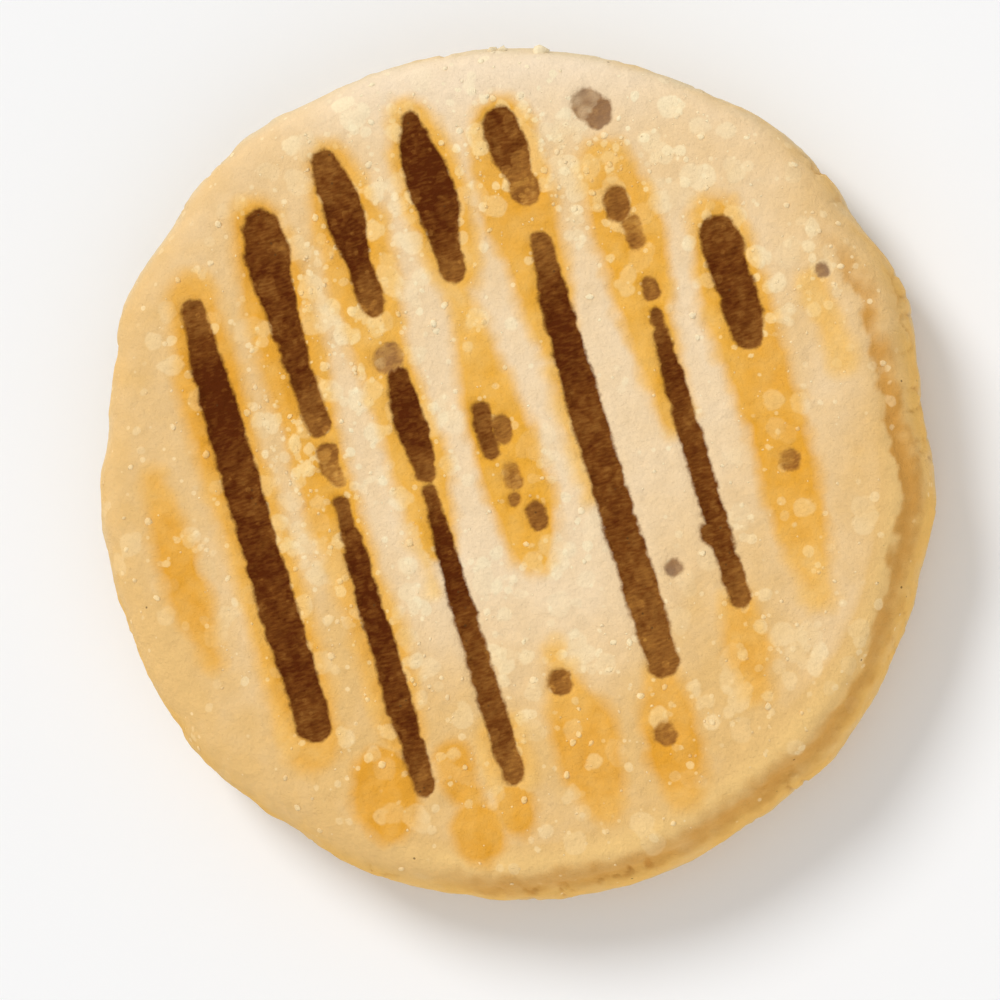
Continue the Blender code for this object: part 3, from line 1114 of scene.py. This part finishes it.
@dataclass
class Crust:
    """The whole cake as one fine closed mesh, which stands for the plain CAD cake.

    Attributes:
        form: The shape that it follows.
        top: The grill that marked the top.
        underside: The grill that marked the underside.
        top_rings: Rings of triangles on the top.
        base_rings: Rings of triangles on the underside.
        side_rings: Rings of faces on the side.
        base_share: How much narrower the underside's disc starts, to be bridged to the side.
        groove_depth: How deep a rod pressed in, in mm, as all the next ones.
        lip_height: Of the dough pushed up beside it.
        small_height: Of a small fleck.
        broad_height: Of a broad fleck.
        pit_depth: Of a pit.
        crack_depth: Of a split in the side.
        places: Of the finished vertices, in metres.
        normals: Of the finished vertices.
        channels: One value a vertex for each.
        finish: The crust's material, once it is made.
    """

    form: CakeForm
    top: Grill
    underside: Grill
    top_rings: int = 128
    base_rings: int = 64
    side_rings: int = 44
    base_share: float = 0.985
    groove_depth: float = 0.62
    lip_height: float = 0.08
    small_height: float = 0.16
    broad_height: float = 0.09
    pit_depth: float = 0.15
    crack_depth: float = 0.5
    places: np.ndarray = field(default_factory=lambda: np.zeros((0, 3)))
    normals: np.ndarray = field(default_factory=lambda: np.zeros((0, 3)))
    channels: dict[Channel, np.ndarray] = field(default_factory=dict)
    finish: bpy.types.Material | None = None

    @staticmethod
    def add_disc(bm: bmesh.types.BMesh, rings: int, radius: float, height: float) -> None:
        """Add a disc of even triangles: a fine hexagon, each ring of it bent to a circle."""
        made = bmesh.ops.create_circle(bm, cap_ends=True, cap_tris=True, segments=6, radius=1.0)
        edges = list({edge for vert in made["verts"] for edge in vert.link_edges})
        bmesh.ops.subdivide_edges(bm, edges=edges, cuts=rings - 1, use_grid_fill=True)
        corner = math.radians(30)
        sector = math.radians(60)
        for vert in bm.verts:
            if vert.tag:
                continue
            vert.tag = True
            reach = math.hypot(vert.co.x, vert.co.y)
            if reach < 1e-7:
                vert.co.z = height
                continue
            angle = math.atan2(vert.co.y, vert.co.x) - corner
            number = math.floor(angle / sector + 1e-9)
            within = angle - number * sector
            ahead = math.sin(within)
            behind = math.sin(sector - within)
            ring = reach * (ahead + behind) / math.sin(sector)
            turn = corner + sector * (number + ahead / (ahead + behind))
            vert.co = (radius * ring * math.cos(turn), radius * ring * math.sin(turn), height)

    def template(self) -> bmesh.types.BMesh:
        """A closed drum: its top at height 1, its side down to 0, and its underside there."""
        bm = bmesh.new()
        self.add_disc(bm, self.top_rings, 1.0, 1.0)
        self.add_disc(bm, self.base_rings, self.base_share, 0.0)
        around = 6 * self.top_rings
        half_up = Matrix.Translation((0, 0, 0.5))
        made = bmesh.ops.create_cone(
            bm, cap_ends=False, segments=around, radius1=1.0, radius2=1.0, depth=1.0, matrix=half_up
        )
        edges = {edge for vert in made["verts"] for edge in vert.link_edges}
        upright = [edge for edge in edges if abs(edge.verts[0].co.z - edge.verts[1].co.z) > 0.5]
        bmesh.ops.subdivide_edges(bm, edges=upright, cuts=self.side_rings - 1, use_grid_fill=True)
        bmesh.ops.remove_doubles(bm, verts=bm.verts, dist=1e-4)
        rims = [edge for edge in bm.edges if edge.is_boundary]
        # Known fault: this bridge twists, so that its faces lie across the whole base.
        bmesh.ops.bridge_loops(bm, edges=rims)
        bmesh.ops.recalc_face_normals(bm, faces=bm.faces)
        return bm

    def plain(self, drum: np.ndarray) -> np.ndarray:
        """Map the drum to the plain turned cake, in mm."""
        reach = np.hypot(drum[:, 0], drum[:, 1])
        radius, height = self.form.section(1 - drum[:, 2])
        top = drum[:, 2] > 1 - 1e-6
        base = drum[:, 2] < 1e-6
        radius[top] = reach[top] * radius[top]
        radius[base] = reach[base] * radius[base]
        share = radius / np.maximum(reach, 1e-9)
        return np.column_stack([drum[:, 0] * share, drum[:, 1] * share, height])

    def streaks(self, places: np.ndarray, upper: np.ndarray) -> tuple[np.ndarray, ...]:
        """Read both grills: distance, tone and ash of the marks, and distance and depth of gold."""
        edge = np.full(len(places), self.top.reach)
        gold = edge.copy()
        tone, ash, depth = np.zeros_like(edge), np.zeros_like(edge), np.zeros_like(edge)
        for grill, here in ((self.top, upper), (self.underside, ~upper)):
            flat = places[here, :2]
            edge[here], tone[here], ash[here] = grill.edge(flat, grill.marks)
            gold[here], depth[here], _ = grill.edge(flat, grill.patches)
        return edge, tone, ash, gold, depth

    def measure(self, places: np.ndarray, browning_and_shade: np.ndarray) -> None:
        """Fill the channels from where each vertex lies, in mm, and from the crease's browning with
        painted shade.
        """
        radius = np.hypot(places[:, 0], places[:, 1])
        direction = np.degrees(np.arctan2(places[:, 1], places[:, 0]))
        turn = (direction - self.form.crease_direction + 180) % 360 - 180
        height = places[:, 2]
        upper = height > self.form.belly_height
        edge, tone, ash, gold, depth = self.streaks(places, upper)
        side_top = ease(self.form.edge_height - height, 0.8, 5.0)
        side_base = ease(height, 0.6, 2.2)
        wall = np.where(upper, side_top, side_base) * ease(radius, 50.0, 54.0)
        hidden = self.top.reach * ease(wall, 0.2, 0.6)
        cloud = grain(places, 9.0, 1.7, 2)
        mottle = grain(places, 3.2, 5.1, 2)
        ragged = 0.30 * grain(places, 1.8, 9.3) + 0.24 * grain(places, 0.95, 13.9)
        blotch = grain(places, 1.7, 17.1, 2)
        char_blotch = 0.13 * blotch + 0.17 * grain(places, 0.95, 19.3)
        # The fold's browning with painted shade, mottled.
        folded_browning_and_shade = browning_and_shade * (1 + 0.25 * mottle + 0.2 * blotch)
        toasting = Toasting()
        self.channels = {
            Channel.MARK_EDGE: edge + hidden + ragged,
            Channel.MARK_TONE: tone + char_blotch,
            Channel.MARK_ASH: ash * (0.85 + 0.4 * mottle),
            Channel.GOLD_EDGE: gold + hidden + 0.8 * mottle + 0.5 * blotch,
            Channel.GOLD_TONE: depth + 0.14 * mottle + 0.10 * blotch,
            Channel.TAN: toasting.tan(places, turn, upper) + 0.12 * cloud + 0.12 * mottle,
            # The fold colour is also laid into the side's cracks as painted shade.
            Channel.FOLD_BROWNING_AND_SHADE: folded_browning_and_shade + 0.55 * wall * self.cracks(places),
            Channel.WALL: wall,
            Channel.TOAST: toasting.side(direction, height) + 0.3 * cloud + 0.2 * mottle,
            Channel.MEAL: self.meal(places) * (1 - 0.7 * wall),
        }
        self.add_flecks(places)

    def add_flecks(self, places: np.ndarray) -> None:
        """Fill the channels of the broad and the small flecks, which have ragged outlines."""
        tree = plant(places)
        scatter = FleckScatter()
        flecks = scatter.draw(places, self.channels[Channel.MEAL])
        outline = 0.34 * grain(places, 1.5, 61.3) + 0.2 * grain(places, 0.8, 67.1)
        for broad, edge_key, tone_key in (
            (True, Channel.BROAD_EDGE, Channel.BROAD_TONE),
            (False, Channel.SMALL_EDGE, Channel.SMALL_TONE),
        ):
            kind = [fleck for fleck in flecks if fleck.broad == broad]
            edge, tone = scatter.paint(tree, kind, len(places))
            self.channels[edge_key] = edge + outline
            self.channels[tone_key] = tone * (1 - 0.65 * self.channels[Channel.WALL])

    @staticmethod
    def meal(places: np.ndarray) -> np.ndarray:
        """How thickly pale meal lies at each place, 0 to 1: thin all over, thick in its drifts."""
        thick = np.full(len(places), 0.34)
        for drift in MEAL_DRIFTS:
            thick += (1 - thick) * drift.spread(places)
        return thick

    @staticmethod
    def cracks(places: np.ndarray) -> np.ndarray:
        """Share of a crack's full depth at each place: thin upright splits in patches."""
        lines = 1 - np.abs(grain(places * (1, 1, 0.2), 5.0, 31.3, 2)) / 0.07
        patches = ease(grain(places, 13.0, 41.7), -0.10, 0.25)
        return np.clip(lines, 0, 1) * patches

    def raised(self, edge: Channel, tone: Channel, start: float, end: float) -> np.ndarray:
        """Share of a kind of fleck's full height at each vertex, from outline to middle."""
        return ease(self.channels[edge], start, end) * self.channels[tone]

    def relief(self, places: np.ndarray) -> np.ndarray:
        """How far each vertex moves out along its normal, in mm."""
        edge, gold, wall = (
            self.channels[key] for key in (Channel.MARK_EDGE, Channel.GOLD_EDGE, Channel.WALL)
        )
        lumps = grain(places, 6.0, 3.1, 2)
        pebbles = grain(places, 2.3, 11.7, 2)
        grit = grain(places, 1.05, 23.9)
        inside = ease(edge, 1.0, -1.2)
        lip = np.exp(-(((edge - 1.3) / 0.8) ** 2))
        move = 0.13 * lumps + 0.09 * pebbles + 0.055 * grit
        move += inside * (0.09 * grit + 0.08 * pebbles - self.groove_depth) + self.lip_height * lip
        move += ease(gold, 0.6, -0.8) * (1 - inside) * (0.03 + 0.06 * pebbles)
        small = self.raised(Channel.SMALL_EDGE, Channel.SMALL_TONE, 0.15, -0.5)
        broad = self.raised(Channel.BROAD_EDGE, Channel.BROAD_TONE, 0.2, -0.6)
        move += (self.small_height * small + self.broad_height * broad) * (1 - inside)
        move -= self.pit_depth * ease(grain(places, 1.7, 83.1), 0.40, 0.68) * (1 - inside)
        move += wall * (0.16 * grain(places, 3.6, 53.1, 2) + 0.06 * grain(places, 1.2, 57.7))
        move -= self.crack_depth * wall * self.cracks(places)
        return np.where(places[:, 2] < 0.02, np.minimum(move, 0.0), move)

    def build(self) -> bpy.types.Object:
        """Model the crust, fill its channels and dress it."""
        bm = self.template()
        mesh = bpy.data.meshes.new("arepa_crust")
        bm.to_mesh(mesh)
        bm.free()
        places, browning_and_shade = self.form.shape(self.plain(read_places(mesh)))
        places[:, :2] -= (places[:, :2].min(axis=0) + places[:, :2].max(axis=0)) / 2
        write_places(mesh, places)
        normals = read_normals(mesh)
        self.measure(places, browning_and_shade)
        places = places + normals * self.relief(places)[:, None]
        places[:, 2] = np.maximum(places[:, 2], 0.0)
        self.places = self.form.fit(places)
        write_places(mesh, self.places)
        self.normals = read_normals(mesh)
        for channel, values in self.channels.items():
            store(mesh, channel, values)
        self.finish = CrustFinish().material()
        piece = add_piece("arepa_crust", mesh, self.finish)
        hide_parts(NODE)
        return piece


def plant(places: np.ndarray) -> kdtree.KDTree:
    """Make a search tree of places."""
    tree = kdtree.KDTree(len(places))
    for index, place in enumerate(places.tolist()):
        tree.insert(place, index)
    tree.balance()
    return tree


def read_places(mesh: bpy.types.Mesh) -> np.ndarray:
    """Read a mesh's vertices as rows of x, y and z."""
    flat = np.empty(len(mesh.vertices) * 3)
    mesh.vertices.foreach_get("co", flat)
    return flat.reshape(-1, 3)


def write_places(mesh: bpy.types.Mesh, places: np.ndarray) -> None:
    """Move a mesh's vertices."""
    mesh.vertices.foreach_set("co", places.ravel())
    mesh.update()


def read_normals(mesh: bpy.types.Mesh) -> np.ndarray:
    """Read the outward direction at each vertex."""
    flat = np.empty(len(mesh.vertices) * 3)
    mesh.vertices.foreach_get("normal", flat)
    return flat.reshape(-1, 3)


def store(mesh: bpy.types.Mesh, channel: Channel, values: np.ndarray) -> None:
    """Keep one value a vertex under the channel's name."""
    layer = mesh.attributes.new(channel.value, "FLOAT", "POINT")
    layer.data.foreach_set("value", values.astype(np.float32))


RIM_CRUMBS = (
    (-2.3, 56.9, 12.6, 0.75),
    (-1.0, 56.9, 12.6, 0.85),
    (4.3, 56.3, 12.8, 1.3),
)


@dataclass
class Grains:
    """Grains of maize that stand a little proud of the crust, joined in one mesh.

    Radii are in mm, and so are the x, y, z and radius of each crumb that breaks the far rim.
    """

    crust: Crust
    count: int = 620
    smallest: float = 0.17
    largest: float = 0.62
    jitter: float = 0.13
    round_from: float = 0.4
    sunk: float = 0.05
    seed: int = 5
    rim_crumbs: tuple[tuple[float, float, float, float], ...] = RIM_CRUMBS

    def build(self) -> bpy.types.Object:
        """Scatter the grains over the crust by the thickness of its meal."""
        chance = np.random.default_rng(self.seed)
        weight = self.crust.channels[Channel.MEAL] ** 2
        unmarked = self.crust.channels[Channel.MARK_EDGE] > 0.8
        weight = weight * unmarked * (self.crust.places[:, 2] > 4 * MM)
        picked = chance.choice(len(weight), self.count, replace=False, p=weight / weight.sum())
        bm = bmesh.new()
        for index in picked:
            radius = self.smallest + (self.largest - self.smallest) * chance.random() ** 3.2
            place, normal = Vector(self.crust.places[index]), Vector(self.crust.normals[index])
            self.add_grain(bm, place, normal, radius, chance)
        for *place, radius in self.rim_crumbs:
            self.add_grain(bm, Vector(place) * MM, Vector((0, 0.86, 0.5)), radius, chance, 0.95)
        low, high = self.crust.form.low, self.crust.form.high
        for vert in bm.verts:
            vert.co = Vector(np.clip(vert.co, low, high))
        mesh = bpy.data.meshes.new("maize_grains")
        bm.to_mesh(mesh)
        bm.free()
        self.copy_channels(mesh)
        return add_piece("maize_grains", mesh, self.crust.finish)

    def add_grain(
        self,
        bm: bmesh.types.BMesh,
        place: Vector,
        normal: Vector,
        radius: float,
        chance: np.random.Generator,
        fullness: float = 0.0,
    ) -> None:
        """Add one flattened grain, half sunk; fullness 1 makes it as thick as it is wide."""
        thick = chance.uniform(0.22, 0.42)
        thick += fullness * (1 - thick)
        stretch = Vector((1.0, chance.uniform(0.7, 1.0), thick)) * (radius * MM)
        turn = normal.to_track_quat("Z", "Y").to_matrix().to_4x4()
        spin = Matrix.Rotation(chance.uniform(0, math.tau), 4, "Z")
        matrix = Matrix.Translation(place - normal * (self.sunk * radius * MM)) @ turn @ spin
        matrix = matrix @ Matrix.Diagonal((*stretch, 1.0))
        if radius > self.round_from:
            made = bmesh.ops.create_uvsphere(bm, u_segments=8, v_segments=5, radius=1.0, matrix=matrix)
        else:
            made = bmesh.ops.create_icosphere(bm, subdivisions=1, radius=1.0, matrix=matrix)
        for vert in made["verts"]:
            vert.co += Vector(chance.normal(0.0, self.jitter * radius * MM * (0.4 + 0.6 * thick), 3))

    def copy_channels(self, mesh: bpy.types.Mesh) -> None:
        """Give each vertex the channels of the crust nearest to it, as pale as a fleck."""
        tree = plant(self.crust.places)
        places = read_places(mesh)
        nearest = [tree.find(place)[1] for place in places.tolist()]
        own = {
            Channel.SMALL_EDGE: np.full(len(places), -1.0),
            Channel.SMALL_TONE: np.clip(0.70 + 0.5 * grain(places / MM, 4.0, 71.3), 0.3, 1.0),
        }
        for channel, values in self.crust.channels.items():
            store(mesh, channel, own.get(channel, values[nearest]))


# ---------------------------------------------------------------------------------------
# Studio
# ---------------------------------------------------------------------------------------


@dataclass(frozen=True)
class Studio:
    """A pale floor, soft light and the camera, looking almost straight down.

    Attributes:
        tilt: Of the camera from straight down, in degrees.
        direction: That it is tipped towards, in degrees.
        distance: From the camera to what it looks at, in metres, as all the next ones.
        view_width: How much it sees from side to side there.
        aim: What it looks at.
        floor_size: Of the square floor.
        sensor: Width of the camera's sensor, in mm.
    """

    tilt: float = 12.0
    direction: float = -32.0
    distance: float = 1.1
    view_width: float = 0.1349
    aim: tuple[float, float, float] = (-0.00195, -0.00377, 0.009)
    floor_size: float = 40.0
    sensor: float = 36.0

    def build_floor(self) -> bpy.types.Object:
        """A plain pale floor under the cake."""
        bm = bmesh.new()
        bmesh.ops.create_grid(bm, x_segments=1, y_segments=1, size=self.floor_size / 2)
        mesh = bpy.data.meshes.new("floor")
        bm.to_mesh(mesh)
        bm.free()
        graph = Graph(bpy.data.materials.new("floor_paint"))
        shader = graph.shader("Principled BSDF")
        shader["Base Color"].default_value = (0.93, 0.93, 0.93, 1.0)
        shader["Roughness"].default_value = 0.9
        shader["Specular IOR Level"].default_value = 0.1
        mesh.materials.append(graph.owner)
        floor = bpy.data.objects.new("floor", mesh)
        bpy.context.scene.collection.objects.link(floor)
        return floor

    @staticmethod
    def add_light(name: str, toward: tuple[float, float, float], spread: float, power: float) -> None:
        """A soft light from far off.

        Args:
            name: Of the lamp.
            toward: Direction from the cake to the light.
            spread: How wide the light looks from the cake, in degrees.
            power: Its strength.
        """
        light = bpy.data.lights.new(name, "SUN")
        light.angle = math.radians(spread)
        light.energy = power
        lamp = bpy.data.objects.new(name, light)
        lamp.rotation_euler = Vector(toward).to_track_quat("Z", "Y").to_euler()
        bpy.context.scene.collection.objects.link(lamp)

    def build_lights(self) -> None:
        """One key from the upper left, a weak fill, and white air that is brightest low down."""
        self.add_light("key", (-0.8, 0.9, 1.2), 24.0, 1.68)
        self.add_light("fill", (0.5, -1.0, 0.9), 60.0, 0.62)
        world = bpy.data.worlds.new("studio_air")
        bpy.context.scene.world = world
        graph = Graph(world)
        direction = graph.node("ShaderNodeTexCoord", output="Generated")
        height = graph.node("ShaderNodeSeparateXYZ", None, {"Vector": direction}, output="Z")
        air = graph.shader("Background")
        air["Color"].default_value = (1.0, 1.0, 1.0, 1.0)
        graph.feed(air["Strength"], 0.95 - 0.47 * height.eased(0.02, 0.45))

    def build_camera(self) -> None:
        """A long lens, tipped a little towards the creased side, with +Y up in the picture."""
        tilt, direction = math.radians(self.tilt), math.radians(self.direction)
        lean = math.sin(tilt)
        back = Vector((lean * math.cos(direction), lean * math.sin(direction), math.cos(tilt)))
        up = Vector((0, 1, 0)) - back * back.y
        up.normalize()
        right = up.cross(back)
        data = bpy.data.cameras.new("camera")
        data.sensor_width = self.sensor
        data.lens = self.sensor * self.distance / self.view_width
        data.clip_start = 0.01
        camera = bpy.data.objects.new("camera", data)
        turn = Matrix((right, up, back)).transposed().to_4x4()
        camera.matrix_world = Matrix.Translation(Vector(self.aim) + back * self.distance) @ turn
        bpy.context.scene.collection.objects.link(camera)
        bpy.context.scene.camera = camera

    def build(self) -> None:
        """Set the whole studio up, with colours shown as they are."""
        bpy.context.scene.view_settings.view_transform = "Standard"
        self.build_floor()
        self.build_lights()
        self.build_camera()


def report(piece: bpy.types.Object) -> None:
    """Log a piece's name and how fine it is."""
    piece.data.calc_loop_triangles()
    log.info("%s: %d triangles", piece.name, len(piece.data.loop_triangles))


def main() -> None:
    """Build the arepa and its studio."""
    logging.basicConfig(level=logging.INFO, format="%(name)s %(message)s")
    low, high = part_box(NODE)
    form = CakeForm(np.array(low), np.array(high))
    marks, patches = underside_streaks()
    crust = Crust(form, Grill(), Grill(turn=-21.0, marks=marks, patches=patches))
    report(crust.build())
    report(Grains(crust).build())
    Studio().build()


if __name__ == "__main__":
    main()
